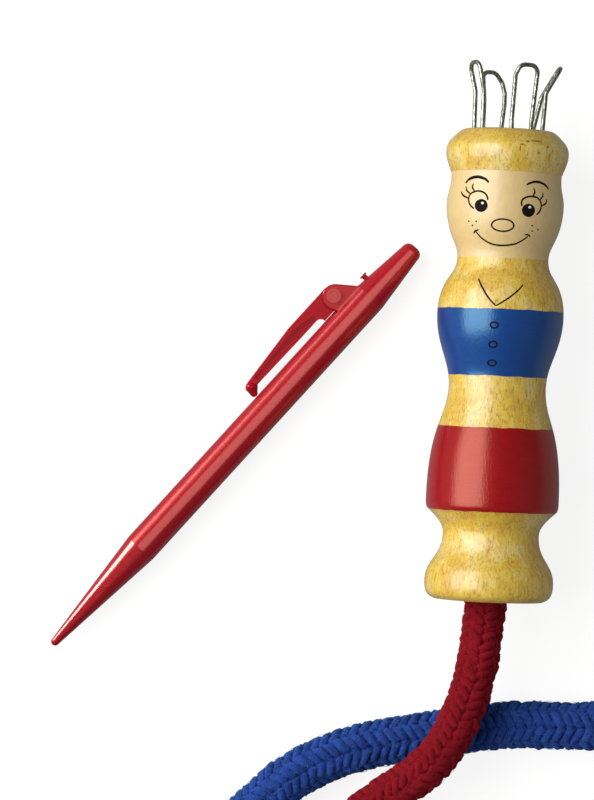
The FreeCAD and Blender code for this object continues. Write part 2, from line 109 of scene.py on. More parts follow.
def softbox(name, place, aim, width, length, turn, radiance, colour):
    """A rectangular lamp, set by the radiance of its front."""
    data = bpy.data.lights.new(name, "AREA")
    data.shape = "RECTANGLE"
    data.size = width
    data.size_y = length
    data.energy = radiance * math.pi * width * length
    data.color = colour
    lamp = bpy.data.objects.new(name, data)
    lamp.location = LIGHT_CENTRE + Vector(place)
    lamp.rotation_euler = (Vector(place) - Vector(aim)).to_track_quat("Z", "Y").to_euler()
    lamp.rotation_euler.rotate_axis("Z", math.radians(turn))
    lamp.visible_camera = False
    lamp.visible_glossy = name not in DULL_LIGHTS
    bpy.context.scene.collection.objects.link(lamp)
    return lamp


def set_lights():
    """One set of lamps for the tool, and one for everything else."""
    for lights, state in ((LIGHTS, "EXCLUDE"), (TOOL_LIGHTS, "INCLUDE")):
        group = bpy.data.collections.new("lit_" + state.lower())
        for name in TOOL_NODES:
            group.objects.link(nodes[name])
        for member in group.collection_objects:
            member.light_linking.link_state = state
        for name, light in lights.items():
            softbox(name, *light).light_linking.receiver_collection = group


class Shader:
    """The nodes of one material. Each method adds a node and gives its output."""

    def __init__(self, name):
        self.material = bpy.data.materials.new(name)
        self.material.use_nodes = True
        self.tree = self.material.node_tree
        self.surface = self.tree.nodes["Principled BSDF"]
        self.object_place = self.node("TexCoord").outputs["Object"]

    def node(self, kind, inputs=None, **settings):
        """A new node. Its inputs are named or numbered, and each is a number, a colour or an output."""
        node = self.tree.nodes.new("ShaderNode" + kind)
        for key, value in settings.items():
            setattr(node, key, value)
        for socket, value in (inputs or {}).items():
            self.put(node.inputs[socket], value)
        return node

    def put(self, socket, value):
        if isinstance(value, bpy.types.NodeSocket):
            self.tree.links.new(value, socket)
        else:
            socket.default_value = value

    def set(self, **sockets):
        for name, value in sockets.items():
            self.put(self.surface.inputs[name.replace("_", " ")], value)

    def stretched(self, scale=(1, 1, 1), shift=(0, 0, 0)):
        """The object's coordinates in millimetres, scaled along each axis, then shifted."""
        inputs = {
            "Vector": self.object_place,
            "Location": Vector(shift),
            "Scale": Vector(scale) / MM,
        }
        return self.node("Mapping", inputs, vector_type="POINT").outputs[0]

    def noise(self, place, scale, detail=3.0, roughness=0.5, distortion=0.0):
        inputs = {
            "Vector": place,
            "Scale": scale,
            "Detail": detail,
            "Roughness": roughness,
            "Distortion": distortion,
        }
        return self.node("TexNoise", inputs).outputs["Fac"]

    def calc(self, operation, *values, clamp=False):
        node = self.node("Math", dict(enumerate(values)), operation=operation, use_clamp=clamp)
        return node.outputs[0]

    def vector(self, operation, *values):
        """The node of a sum on vectors, whose output is the vector or its value."""
        return self.node("VectorMath", dict(enumerate(values)), operation=operation)

    def scaled(self, colour, factor):
        inputs = {0: colour[:3], "Scale": factor}
        return self.node("VectorMath", inputs, operation="SCALE").outputs[0]

    def step(self, value, start, end, low=0.0, high=1.0):
        """Goes smoothly from low at start to high at end."""
        inputs = {"Value": value, "From Min": start, "From Max": end, "To Min": low, "To Max": high}
        return self.node("MapRange", inputs, interpolation_type="SMOOTHSTEP").outputs[0]

    def mix(self, share, low, high):
        """Goes from one colour to another."""
        return self.node("Mix", {0: share, 6: low, 7: high}, data_type="RGBA").outputs[2]

    def mix_number(self, share, low, high):
        return self.node("Mix", {0: share, 2: low, 3: high}, data_type="FLOAT").outputs[0]

    def bump(self, height, depth, under=None):
        """A bump as deep as this, in millimetres, where the height goes from 0 to 1."""
        inputs = {"Height": height, "Distance": depth * MM, "Strength": 1.0}
        if under is not None:
            inputs["Normal"] = under
        return self.node("Bump", inputs).outputs[0]


def rgb(red, green, blue):
    return (red, green, blue, 1.0)


FLOOR_REACH = 3.0              # from its middle, in metres
FLOOR_WHITE = 0.22             # its own colour, which carries the shadow
FLOOR_GLOW = 0.86              # the white that the camera sees
FLOOR_MIRRORED = 0.12          # the share of that white that a reflection sees


def set_floor():
    """A white table. It shows white to the camera and in reflections, and keeps a soft shadow."""
    mesh = bpy.data.meshes.new("table")
    corners = [(FLOOR_REACH * x, FLOOR_REACH * y, 0) for x, y in ((-1, -1), (1, -1), (1, 1), (-1, 1))]
    mesh.from_pydata(corners, [], [(0, 1, 2, 3)])
    floor = bpy.data.objects.new("table", mesh)
    bpy.context.scene.collection.objects.link(floor)
    shader = Shader("table_white")
    rays = shader.node("LightPath").outputs
    mirrored = shader.calc("MAXIMUM", rays["Is Glossy Ray"], rays["Is Transmission Ray"])
    seen = shader.calc("MULTIPLY_ADD", mirrored, FLOOR_MIRRORED, rays["Is Camera Ray"])
    glow = shader.calc("MULTIPLY", seen, FLOOR_GLOW)
    shader.set(Base_Color=rgb(FLOOR_WHITE, FLOOR_WHITE, FLOOR_WHITE), Roughness=0.9)
    shader.set(Specular_IOR_Level=0.0, Emission_Color=rgb(1, 1, 1), Emission_Strength=glow)
    mesh.materials.append(shader.material)


def set_world():
    """Even, dim light from all round, which the camera sees as white."""
    world = bpy.data.worlds.new("world")
    world.use_nodes = True
    tree = world.node_tree
    background = tree.nodes["Background"]
    rays = tree.nodes.new("ShaderNodeLightPath")
    strength = tree.nodes.new("ShaderNodeMapRange")
    strength.inputs["To Min"].default_value = WORLD_LIGHT
    strength.inputs["To Max"].default_value = 1.0
    tree.links.new(rays.outputs["Is Camera Ray"], strength.inputs["Value"])
    tree.links.new(strength.outputs[0], background.inputs["Strength"])
    background.inputs["Color"].default_value = rgb(1, 1, 1)
    bpy.context.scene.world = world


# ================================================================ materials
WOOD_PALE = rgb(0.84, 0.64, 0.19)
WOOD_MID = rgb(0.81, 0.56, 0.045)
WOOD_GOLD = rgb(0.74, 0.455, 0.03)
WOOD_DEEP = rgb(0.40, 0.205, 0.02)
WOOD_PORE = rgb(0.24, 0.105, 0.012)
FLESH_PAINT = rgb(0.75, 0.545, 0.235)
BLUE_PAINT = rgb(0.008, 0.048, 0.245)
RED_PAINT = rgb(0.310, 0.0015, 0.008)
BLUE_GLOSS = rgb(0.16, 0.46, 0.60)
RED_GLOSS = rgb(0.55, 0.22, 0.14)
BARE_GLOSS = rgb(0.50, 0.52, 0.60)
# The sizes of the grain and of the nicks are in millimetres.
PITH = (31.0, -24.0)           # centre of the growth rings, across the dolly and up, from its axis
RING_SPACING = 3.4
RING_WAVER = 5.0
LATE_WOOD = 0.13               # how much of the deep colour late wood takes
NICK_HEIGHT = 12.5             # of the cap's surface above the axis, where the nicks are
NICK_FADE = 0.12               # how fast a nick fades with depth
NICK_RAGGED = 1.8
# Small dark nicks on the cap: place across and along the dolly, and half size across and along.
NICKS = [
    ((2.5, 101.2), (0.50, 0.24)),
    ((2.1, 100.2), (0.20, 0.75)),
    ((5.6, 102.1), (1.30, 0.20)),
    ((3.7, 101.9), (0.50, 0.20)),
    ((8.3, 101.0), (0.32, 0.24)),
    ((6.3, 99.5), (0.24, 0.30)),
]


def wood_colour(shader):
    """Soft growth rings, golden patches, fibres along the dolly, short dark pores and a few nicks.

    Gives the colour and the fibres.
    """
    place = shader.stretched(shift=(-PITH[0], 0, -PITH[1] - AXIS_HEIGHT / MM))
    waver = shader.noise(shader.stretched((1, 0.25, 1)), 0.07, 2.0)
    across = shader.vector("MULTIPLY", place, (1, 0, 1)).outputs[0]
    radius = shader.vector("LENGTH", across).outputs["Value"]
    radius = shader.calc("MULTIPLY_ADD", waver, RING_WAVER, radius)
    ring = shader.calc("FRACT", shader.calc("DIVIDE", radius, RING_SPACING))
    late = shader.calc("MULTIPLY", shader.step(ring, 0.3, 0.95), shader.step(ring, 1.0, 0.95))
    fibre = shader.noise(shader.stretched((2.0, 0.40, 2.0)), 1.0, 4.0, 0.7)
    speckle = shader.noise(shader.stretched((2.8, 1.7, 2.8)), 1.0, 3.0, 0.7)
    patch = shader.noise(shader.stretched((1, 0.7, 1)), 0.19, 4.0, 0.62)
    pore = shader.noise(shader.stretched((2.6, 0.55, 2.6)), 1.0, 2.0, 0.6, 0.5)
    colour = shader.mix(shader.step(patch, 0.40, 0.51), WOOD_GOLD, WOOD_MID)
    colour = shader.mix(shader.step(patch, 0.50, 0.63), colour, WOOD_PALE)
    colour = shader.mix(shader.calc("MULTIPLY", late, LATE_WOOD), colour, WOOD_DEEP)
    colour = shader.mix(shader.step(fibre, 0.50, 0.66, 0.0, 0.62), colour, WOOD_DEEP)
    colour = shader.mix(shader.step(fibre, 0.46, 0.32, 0.0, 0.60), colour, WOOD_PALE)
    colour = shader.mix(shader.step(speckle, 0.52, 0.68, 0.0, 0.45), colour, WOOD_DEEP)
    colour = shader.mix(shader.step(pore, 0.58, 0.70, 0.0, 0.60), colour, WOOD_PORE)
    ragged_edge = shader.calc("MULTIPLY", shader.calc("SUBTRACT", speckle, 0.5), NICK_RAGGED)
    height = AXIS_HEIGHT / MM + NICK_HEIGHT
    for (nick_across, nick_along), (half_across, half_along) in NICKS:
        scale = (1 / half_across, 1 / half_along, NICK_FADE)
        shift = (-nick_across / half_across, -nick_along / half_along, -height * NICK_FADE)
        reach = shader.vector("LENGTH", shader.stretched(scale, shift)).outputs["Value"]
        nick = shader.step(shader.calc("ADD", reach, ragged_edge), 1.20, 0.60, 0.0, 0.9)
        colour = shader.mix(nick, colour, WOOD_PORE)
    return colour, fibre


PAINT_EDGE = 0.07 * MM         # half the width in which a paint ends
PAINT_WAVER = 0.5 * MM
FACE_WAVER = 0.3               # of PAINT_WAVER


def band(shader, start, end, waver):
    """1 between two places along the dolly, with a brushed edge."""
    along = shader.node("SeparateXYZ", {"Vector": shader.object_place}).outputs["Y"]
    place = shader.calc("ADD", along, waver)
    rising = shader.step(place, start - PAINT_EDGE, start + PAINT_EDGE)
    falling = shader.step(place, end + PAINT_EDGE, end - PAINT_EDGE)
    return shader.calc("MULTIPLY", rising, falling)


def painted_wood():
    """Bare wood with three bands of brushed paint, under a lacquer that shows less on the paint."""
    shader = Shader("painted_wood")
    colour, fibre = wood_colour(shader)
    waver = shader.noise(shader.stretched((1, 0.02, 1)), 0.35, 2.0)
    waver = shader.calc("MULTIPLY", shader.calc("SUBTRACT", waver, 0.5), PAINT_WAVER)
    face = band(shader, FACE_START, FACE_END, shader.calc("MULTIPLY", waver, FACE_WAVER))
    blue = band(shader, BLUE_START, BLUE_END, waver)
    red = band(shader, RED_START, RED_END, waver)
    brush = shader.noise(shader.stretched((0.25, 5.0, 0.25)), 1.0, 3.0, 0.6)
    tone = shader.step(brush, 0.3, 0.75, 0.88, 1.12)
    streak = shader.step(fibre, 0.3, 0.75, 1.04, 0.92)
    colour = shader.mix(face, colour, shader.scaled(FLESH_PAINT, streak))
    colour = shader.mix(blue, colour, shader.scaled(BLUE_PAINT, tone))
    colour = shader.mix(red, colour, shader.scaled(RED_PAINT, tone))
    peel = shader.noise(shader.stretched(), 1.9, 3.0)
    grain = shader.noise(shader.stretched((3.2, 0.5, 3.2)), 1.0, 2.0)
    painted = shader.calc("ADD", blue, red)
    height = shader.calc("MULTIPLY_ADD", peel, 0.55, shader.calc("MULTIPLY", grain, 0.45))
    normal = shader.bump(height, 0.060)
    rough = shader.mix_number(painted, shader.step(fibre, 0.3, 0.7, 0.44, 0.60), 0.28)
    rough = shader.mix_number(face, rough, 0.46)
    sheen = shader.mix(blue, BARE_GLOSS, BLUE_GLOSS)
    sheen = shader.mix(red, sheen, RED_GLOSS)
    shader.set(Base_Color=colour, Roughness=rough, Normal=normal, IOR=1.75)
    shader.set(Specular_IOR_Level=1.0, Specular_Tint=sheen)
    lacquer = shader.mix_number(shader.calc("ADD", painted, face, clamp=True), 0.65, 0.22)
    shader.set(Coat_Weight=lacquer, Coat_Roughness=0.12, Coat_IOR=1.6, Coat_Normal=normal)
    return shader.material


ZINC_PALE = rgb(0.86, 0.88, 0.78)
ZINC_STREAK = rgb(0.12, 0.13, 0.09)
ZINC_BLOTCH = rgb(0.20, 0.21, 0.15)


def galvanised():
    """Dull zinc, with darker drawn streaks along the wire and blotches."""
    shader = Shader("galvanised_wire")
    blotch = shader.noise(shader.stretched(), 1.1, 3.0, 0.6)
    drawn = shader.noise(shader.stretched((5.5, 0.45, 5.5)), 1.0, 3.0, 0.7)
    colour = shader.mix(shader.step(drawn, 0.42, 0.60), ZINC_STREAK, ZINC_PALE)
    colour = shader.mix(shader.step(blotch, 0.45, 0.62, 0.0, 0.5), colour, ZINC_BLOTCH)
    normal = shader.bump(drawn, 0.03)
    shader.set(Base_Color=colour, Metallic=1.0, Normal=normal)
    shader.set(Roughness=shader.step(drawn, 0.3, 0.7, 0.42, 0.24))
    return shader.material


# The direction in which the tool's ears and clip stand off its shank, where the shank's axis lies along it,
# and how far from that axis the shank's shine ends, in millimetres.
TOOL_OUTWARD = (-0.76717, 0.64145, 0.0)
TOOL_AXIS_OUTWARD = 65.13
SHINE_END = (3.2, 3.7)
PLASTIC_DARK = rgb(0.270, 0.003, 0.011)
PLASTIC_PALE = rgb(0.340, 0.005, 0.014)
SHINE = rgb(1.0, 0.26, 0.20)
DULL_SHINE = rgb(0.40, 0.06, 0.05)
SKIN = 0.35
DULL_SKIN = 0.06


def red_plastic(name, gloss, wave, duller):
    """Moulded plastic with a reddish sheen under a clear, slightly wavy skin, and duller off the shank."""
    shader = Shader(name)
    offset = shader.vector("DOT_PRODUCT", shader.object_place, TOOL_OUTWARD).outputs["Value"]
    offset = shader.calc("MULTIPLY_ADD", offset, 1 / MM, -TOOL_AXIS_OUTWARD)
    off_shank = shader.step(offset, *SHINE_END, 0.0, duller)
    sheen = shader.mix(off_shank, SHINE, DULL_SHINE)
    skin = shader.mix_number(off_shank, SKIN * gloss, DULL_SKIN)
    cloud = shader.noise(shader.stretched(), 0.10, 2.0)
    ripple = shader.noise(shader.stretched(), 0.30, 2.0)
    grain = shader.noise(shader.stretched(), 3.5, 2.0)
    colour = shader.mix(cloud, PLASTIC_DARK, PLASTIC_PALE)
    wavy = shader.bump(ripple, wave)
    normal = shader.bump(grain, 0.010, wavy)
    shader.set(Base_Color=colour, Roughness=shader.step(grain, 0.3, 0.7, 0.24, 0.32))
    shader.set(Normal=normal, IOR=1.5, Specular_IOR_Level=gloss, Specular_Tint=sheen)
    shader.set(Coat_Weight=skin, Coat_Roughness=0.05, Coat_IOR=1.45, Coat_Normal=wavy)
    return shader.material


STEEL_DARK = rgb(0.45, 0.45, 0.45)
STEEL_BRIGHT = rgb(0.62, 0.62, 0.62)
INK_BLACK = rgb(0.006, 0.005, 0.004)
INK_WORN = rgb(0.022, 0.014, 0.010)
GLINT_DULL = rgb(0.80, 0.78, 0.72)
GLINT_WHITE = rgb(0.88, 0.87, 0.84)


def spring_steel():
    """Bright drawn wire."""
    shader = Shader("spring_steel")
    drawn = shader.noise(shader.stretched(), 6.0, 2.0)
    colour = shader.mix(drawn, STEEL_DARK, STEEL_BRIGHT)
    shader.set(Base_Color=colour, Metallic=1.0, Roughness=0.3, Normal=shader.bump(drawn, 0.004))
    return shader.material


def ink():
    """Matt black print, a little worn."""
    shader = Shader("black_ink")
    wear = shader.noise(shader.stretched(), 3.0, 3.0, 0.6)
    colour = shader.mix(shader.step(wear, 0.45, 0.8), INK_BLACK, INK_WORN)
    shader.set(Base_Color=colour, Roughness=0.75, Normal=shader.bump(wear, 0.006))
    shader.set(Specular_IOR_Level=0.12)
    return shader.material


def white_ink():
    """The print of the glints in the eyes."""
    shader = Shader("white_ink")
    wear = shader.noise(shader.stretched(), 3.0, 2.0)
    colour = shader.mix(wear, GLINT_DULL, GLINT_WHITE)
    shader.set(Base_Color=colour, Roughness=0.4)
    return shader.material


def yarn(name, deep, pale, fuzz):
    """Wool: mottled by its fibres, with a few pale strands, and a soft fuzz at its edges."""
    shader = Shader(name)
    fibre = shader.noise(shader.stretched(), 3.0, 4.0, 0.7, 0.6)
    strand = shader.noise(shader.stretched(), 1.1, 3.0, 0.65, 2.2)
    cloud = shader.noise(shader.stretched(), 0.22, 2.0)
    share = shader.calc("MULTIPLY_ADD", cloud, 0.25, shader.calc("MULTIPLY", fibre, 0.35))
    share = shader.calc("MULTIPLY_ADD", strand, 0.45, share)
    colour = shader.mix(shader.step(share, 0.38, 0.68), deep, pale)
    height = shader.calc("ADD", shader.calc("MULTIPLY", fibre, 0.5), shader.calc("MULTIPLY", strand, 0.5))
    shader.set(Base_Color=colour, Roughness=0.95, Normal=shader.bump(height, 0.5))
    shader.set(Specular_IOR_Level=0.15, Sheen_Weight=0.6, Sheen_Roughness=0.45)
    shader.set(Sheen_Tint=fuzz)
    return shader.material


def finish_node(name, material):
    """Gives a CAD node its material."""
    for slot in nodes[name].material_slots:
        slot.material = material


# ================================================================ mesh helpers
def new_object(name, vertices, faces, material):
    """A smooth mesh in the scene."""
    mesh = bpy.data.meshes.new(name)
    mesh.from_pydata(vertices, [], faces)
    mesh.polygons.foreach_set("use_smooth", [True] * len(mesh.polygons))
    mesh.materials.append(material)
    mesh.update()
    made = bpy.data.objects.new(name, mesh)
    bpy.context.scene.collection.objects.link(made)
    return made


def tube_faces(rings, sides, first=0, capped=True):
    """The faces of a tube whose rings of vertices follow each other, with a cap at each end."""
    faces = []
    for ring in range(rings - 1):
        here = first + ring * sides
        for side in range(sides):
            turn = (side + 1) % sides
            faces.append((here + side, here + turn, here + sides + turn, here + sides + side))
    if capped:
        last = first + (rings - 1) * sides
        faces.append(tuple(first + side for side in reversed(range(sides))))
        faces.append(tuple(last + side for side in range(sides)))
    return faces


def gathered(parts):
    """The vertices and the faces of several parts as those of one mesh."""
    vertices = []
    faces = []
    for part_vertices, part_faces in parts:
        first = len(vertices)
        vertices += list(part_vertices)
        faces += [tuple(first + corner for corner in face) for face in part_faces]
    return vertices, faces


# ================================================================ ink lines on the dolly
# Places are millimetres: across the dolly from its axis, and along it from its base face, as seen from
# above. Each stroke is its points, its width in the middle and its width at its ends.
EYE_LINE = 0.42
LASH_LINE = 0.41
LASH_TIP = 0.2
FACE_STROKES = [
    # eyebrows
    ([(-9.41, 92.35), (-8.49, 93.32), (-6.94, 93.76), (-5.36, 93.37), (-4.36, 92.53)], 0.70, 0.38),
    (
        [(3.92, 92.35), (4.86, 92.89), (6.18, 93.18), (7.58, 92.94), (8.50, 92.37), (8.98, 91.65)],
        0.62,
        0.34,
    ),
    # left eye
    (
        [
            (-7.39, 86.65), (-8.27, 87.58), (-8.63, 88.78), (-8.24, 89.94), (-7.35, 90.46),
            (-6.44, 90.60), (-5.38, 90.27), (-4.70, 89.51), (-4.45, 88.58),
        ],
        EYE_LINE,
        EYE_LINE,
    ),
    # right eye
    (
        [
            (3.04, 87.55), (2.98, 88.69), (3.63, 89.45), (4.92, 89.86), (6.30, 89.71),
            (7.11, 89.02), (7.44, 87.97), (7.14, 86.75), (6.43, 85.90),
        ],
        EYE_LINE,
        EYE_LINE,
    ),
    # lashes
    ([(-10.31, 90.50), (-9.77, 89.60), (-8.50, 88.86)], LASH_LINE, LASH_TIP),
    ([(-9.28, 91.67), (-9.04, 90.67), (-8.20, 89.90)], LASH_LINE, LASH_TIP),
    ([(-7.67, 92.29), (-7.90, 91.48), (-7.38, 90.45)], LASH_LINE, LASH_TIP),
    ([(5.53, 91.78), (5.84, 90.94), (5.41, 89.82)], LASH_LINE, LASH_TIP),
    ([(7.59, 90.99), (7.68, 90.14), (6.98, 89.12)], LASH_LINE, LASH_TIP),
    ([(8.63, 89.54), (8.45, 88.59), (7.38, 87.84)], LASH_LINE, LASH_TIP),
    # mouth, with a tick at each corner
    (
        [
            (-6.79, 81.76), (-5.26, 80.21), (-3.08, 79.08), (-0.68, 78.83),
            (1.98, 79.29), (3.82, 80.31), (4.85, 81.17),
        ],
        0.44,
        0.34,
    ),
    ([(-7.14, 81.18), (-6.87, 81.81), (-6.03, 82.09)], 0.38, 0.24),
    ([(4.01, 81.43), (4.83, 81.43), (5.31, 80.98)], 0.38, 0.24),
]
COLLAR_STROKES = [
    ([(-5.71, 71.32), (-5.02, 69.71), (-3.91, 67.75), (-2.76, 66.35), (-1.73, 65.42)], 0.42, 0.32),
    ([(4.12, 70.38), (3.12, 69.11), (1.23, 67.43), (-0.53, 66.18), (-1.73, 65.42)], 0.38, 0.32),
]
# Each ring is its centre, its half width, its half height and its line's width.
NOSE = ((-0.95, 83.24), 2.44, 1.33, 0.38)
BUTTONS = [
    ((-1.92, 61.15), 0.86, 0.64, 0.37),
    ((-1.98, 56.89), 0.89, 0.66, 0.37),
    ((-1.97, 52.81), 0.89, 0.62, 0.37),
]
# Each disc is its centre, its half width and its half height.
PUPILS = [((-5.86, 87.40), 1.40, 1.44), ((4.57, 86.76), 1.48, 1.46)]
GLINTS = [((-5.60, 87.93), 0.30, 0.30), ((4.87, 87.45), 0.32, 0.32)]
FRECKLE_PLACES = [(-8.34, 83.91), (-6.79, 83.92), (-7.52, 83.01), (5.58, 83.45), (6.96, 82.67), (5.65, 82.27)]
FRECKLE_SIZE = 0.19
FRECKLES = [(place, FRECKLE_SIZE, FRECKLE_SIZE) for place in FRECKLE_PLACES]
INK_HEIGHT = 0.035             # crown of a line above the wood
INK_DEPTH = 0.06               # underside of a line below the wood
LINE_STEP = 0.12
LINE_CROWN = 0.45              # of a line's width, its flat top
LINE_TIP = 0.15                # of a line's width, its very end
LINE_SWELL = 0.7               # below 1, a stroke reaches its full width sooner
DISC_DEPTH = 4 * INK_DEPTH


class Surface:
    """The dolly's upper side, to set ink on."""

    def __init__(self, node):
        self.tree = BVHTree.FromObject(node, bpy.context.evaluated_depsgraph_get())

    def at(self, across, along):
        """The point of the surface straight below a place, and its normal."""
        start = Vector((across * MM, along * MM, 1.0))
        place, normal, _, _ = self.tree.ray_cast(start, -UP)
        return place, normal


def through(points):
    """A smooth line through points in a plane, at even steps."""
    knots = [Vector(point) for point in points]
    dense = []
    for index in range(len(knots) - 1):
        start, end = knots[index], knots[index + 1]
        before = knots[index - 1] if index else start * 2 - end
        after = knots[index + 2] if index + 2 < len(knots) else end * 2 - start
        steps = max(2, round((end - start).length / LINE_STEP))
        for step in range(steps):
            t = step / steps
            dense.append(
                (start * 2 + (end - before) * t
                 + (before * 2 - start * 5 + end * 4 - after) * t**2
                 + (start * 3 - before - end * 3 + after) * t**3) / 2
            )
    return dense + [knots[-1]]


def ellipse(centre, wide, high):
    """Points round an ellipse at even steps."""
    count = max(10, round(math.tau * max(wide, high) / LINE_STEP))
    turns = [math.tau * index / count for index in range(count)]
    return [Vector((centre[0] + wide * math.cos(t), centre[1] + high * math.sin(t))) for t in turns]


def inked_line(surface, points, widths, closed=False):
    """Vertices and faces of a low ridge of ink along a line on the surface."""
    vertices = []
    count = len(points)
    for index, point in enumerate(points):
        if closed:
            ahead, behind = points[(index + 1) % count], points[index - 1]
        else:
            ahead, behind = points[min(index + 1, count - 1)], points[max(index - 1, 0)]
        place, normal = surface.at(*point)
        forward = surface.at(*ahead)[0] - surface.at(*behind)[0]
        side = normal.cross(forward).normalized() * (widths[index] / 2 * MM)
        crown = place + normal * (INK_HEIGHT * MM)
        root = place - normal * (INK_DEPTH * MM)
        top = side * LINE_CROWN
        vertices += [place + side, crown + top, crown - top, place - side, root]
    sides = len(vertices) // count
    faces = tube_faces(count, sides, capped=not closed)
    if closed:
        last = (count - 1) * sides
        for side in range(sides):
            turn = (side + 1) % sides
            faces.append((last + side, last + turn, turn, side))
    return vertices, faces


def ink_disc(surface, centre, wide, high):
    """Vertices and faces of a low dome of ink."""
    vertices = []
    rim = ellipse(centre, wide, high)
    middle = Vector(centre)
    levels = [(1.0, 0.0), (0.8, 0.8), (0.4, 1.0)]       # shares of the disc's width and of its height
    for share, level in levels:
        for point in rim:
            place, normal = surface.at(*(middle + (point - middle) * share))
            vertices.append(place + normal * (INK_HEIGHT * level * MM))
    count = len(rim)
    faces = tube_faces(len(levels), count, capped=False)
    place, normal = surface.at(*middle)
    vertices += [place + normal * (INK_HEIGHT * MM), place - normal * (DISC_DEPTH * MM)]
    inner = (len(levels) - 1) * count
    top = len(levels) * count
    for side in range(count):
        turn = (side + 1) % count
        faces.append((inner + side, inner + turn, top))
        faces.append((turn, side, top + 1))
    return vertices, faces


def rounded_widths(points, middle, end):
    """Widths along a stroke: thin ends, full in the middle, and a rounded tip."""
    count = len(points)
    widths = []
    for index in range(count):
        share = index / (count - 1)
        width = end + (middle - end) * math.sin(math.pi * share) ** LINE_SWELL
        tip = min(index, count - 1 - index) * LINE_STEP / (width / 2)
        if tip < 1:
            width *= math.sqrt(1 - (1 - tip) ** 2) * (1 - LINE_TIP) + LINE_TIP
        widths.append(width)
    return widths


def inked(name, parts, material):
    """One piece of ink, riding on the dolly."""
    piece = new_object(name, *gathered(parts), material)
    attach(piece, "dolly")


def stroke(surface, points, middle, end):
    """Vertices and faces of one stroke of the pen."""
    line = through(points)
    return inked_line(surface, line, rounded_widths(line, middle, end))


def ink_ring(surface, centre, wide, high, width):
    """Vertices and faces of a line of even width round an ellipse."""
    line = ellipse(centre, wide, high)
    return inked_line(surface, line, [width] * len(line), closed=True)


def draw_ink():
    """The face, the collar and the buttons."""
    surface = Surface(nodes["doll_body"])
    black = ink()
    face = [stroke(surface, *drawn) for drawn in FACE_STROKES]
    face += [ink_ring(surface, *NOSE)]
    face += [ink_disc(surface, *drawn) for drawn in PUPILS + FRECKLES]
    inked("face_lines", face, black)
    inked("collar_lines", [stroke(surface, *drawn) for drawn in COLLAR_STROKES], black)
    inked("button_rings", [ink_ring(surface, *drawn) for drawn in BUTTONS], black)
    # The glints lie on the pupils.
    glints = [ink_disc(surface, *drawn) for drawn in GLINTS]
    raised = [([vertex + UP * (INK_HEIGHT * MM) for vertex in vertices], faces) for vertices, faces in glints]
    inked("eye_glints", raised, white_ink())


# ================================================================ knitted cord
# Each knit is the cord's diameter, the yarn's radius, and how far a stitch's legs stand out from its middle
# and its head sinks in.
RED_KNIT = (9.8 * MM, 1.02 * MM, 0.30 * MM)
BLUE_KNIT = (11.2 * MM, 1.02 * MM, 0.48 * MM)
WALES = 4                      # stitches in a round, one for each wire loop
ROW_PITCH = 2.2 * MM
LOOP_HALF_HEIGHT = 1.75 * MM   # along the cord, from a stitch's middle to its head
LOOP_OVERHANG = 0.33           # of a wale's width, how far a stitch's head hangs over its neck
PLY_DEPTH = 0.07               # of the yarn's radius
PLY_TURN = 5.2 * MM            # length of yarn for one turn of its plies
POINTS_PER_STITCH = 15
STITCH_SPREAD = (0.17 * MM, 0.045, 0.15 * MM)      # chance along the cord, round it in radians, and outward
STITCH_SEED = 7
END_ROUNDING = 4.5 * MM        # length in which a closed end narrows
YARN_SIDES = 8
WOOL_ROUGHNESS = 0.06          # of the yarn's radius
WOOL_SEED = 11
CORE_INSET = 1.5 * MM          # from the cord's ends
CORE_TAPER = 2 * MM
CORE_TIP = 0.1                 # of the taper, at the very end
CORE_SIDES = 12
HAIR_RADIUS = 0.045 * MM
HAIR_LENGTH = (2.0 * MM, 4.5 * MM)
HAIR_BEND = 0.35               # radians
HAIR_LIFT = -0.10 * MM         # of a hair's middle above the stitches
HAIR_SINK = 0.85 * MM          # of a hair's ends below its middle
HAIR_RINGS = 5
HAIR_SIDES = 3
HAIR_MARGIN = 6 * MM           # from the cord's ends
HAIR_SEED = 23
RED_HAIRS = 450
BLUE_HAIRS = 1600
PATH_STEP = 0.5 * MM
EASING_PASSES = 40
ROUTE_RESOLUTION = 24          # points that the spline gives between two of its control points

# The cord's route is the CAD model's, in millimetres. At the colour change each knit reaches one row into
# the other.
RED_LAST = (-44.9, -85.7, 5.4)
BLUE_FIRST = (-44.2, -83.3, 5.4)
RED_ROUTE = [
    (0.3, 62.0, 14.5),
    (-0.2, 47.0, 14.2),
    (0.3, 33.0, 14.3),
    (-0.2, 20.0, 14.3),
    (-0.3, 5.0, 14.6),
    (-0.9, -8.0, 15.2),
    (-2.8, -21.8, 16.5),
    (-9.6, -36.9, 16.3),
    (-22.3, -46.2, 10.8),
    (-33.3, -56.4, 5.2),
    (-40.2, -69.0, 5.0),
    RED_LAST,
]
BLUE_ROUTE = [
    BLUE_FIRST,
    (-49.9, -103.5, 5.6),
    (-61.0, -121.5, 5.6),
    (-82.0, -131.5, 5.6),
    (-107.5, -131.0, 5.6),
    (-130.0, -118.5, 5.6),
    (-140.5, -96.0, 5.6),
    (-134.0, -72.5, 5.6),
    (-112.5, -59.5, 5.6),
    (-86.5, -60.0, 5.6),
    (-56.4, -57.0, 5.6),
    (-44.1, -42.8, 5.6),
    (-29.4, -35.1, 5.6),
    (-11.0, -31.5, 5.6),
    (6.0, -27.9, 5.6),
    (21.0, -28.3, 5.6),
    (33.6, -27.2, 5.6),
]


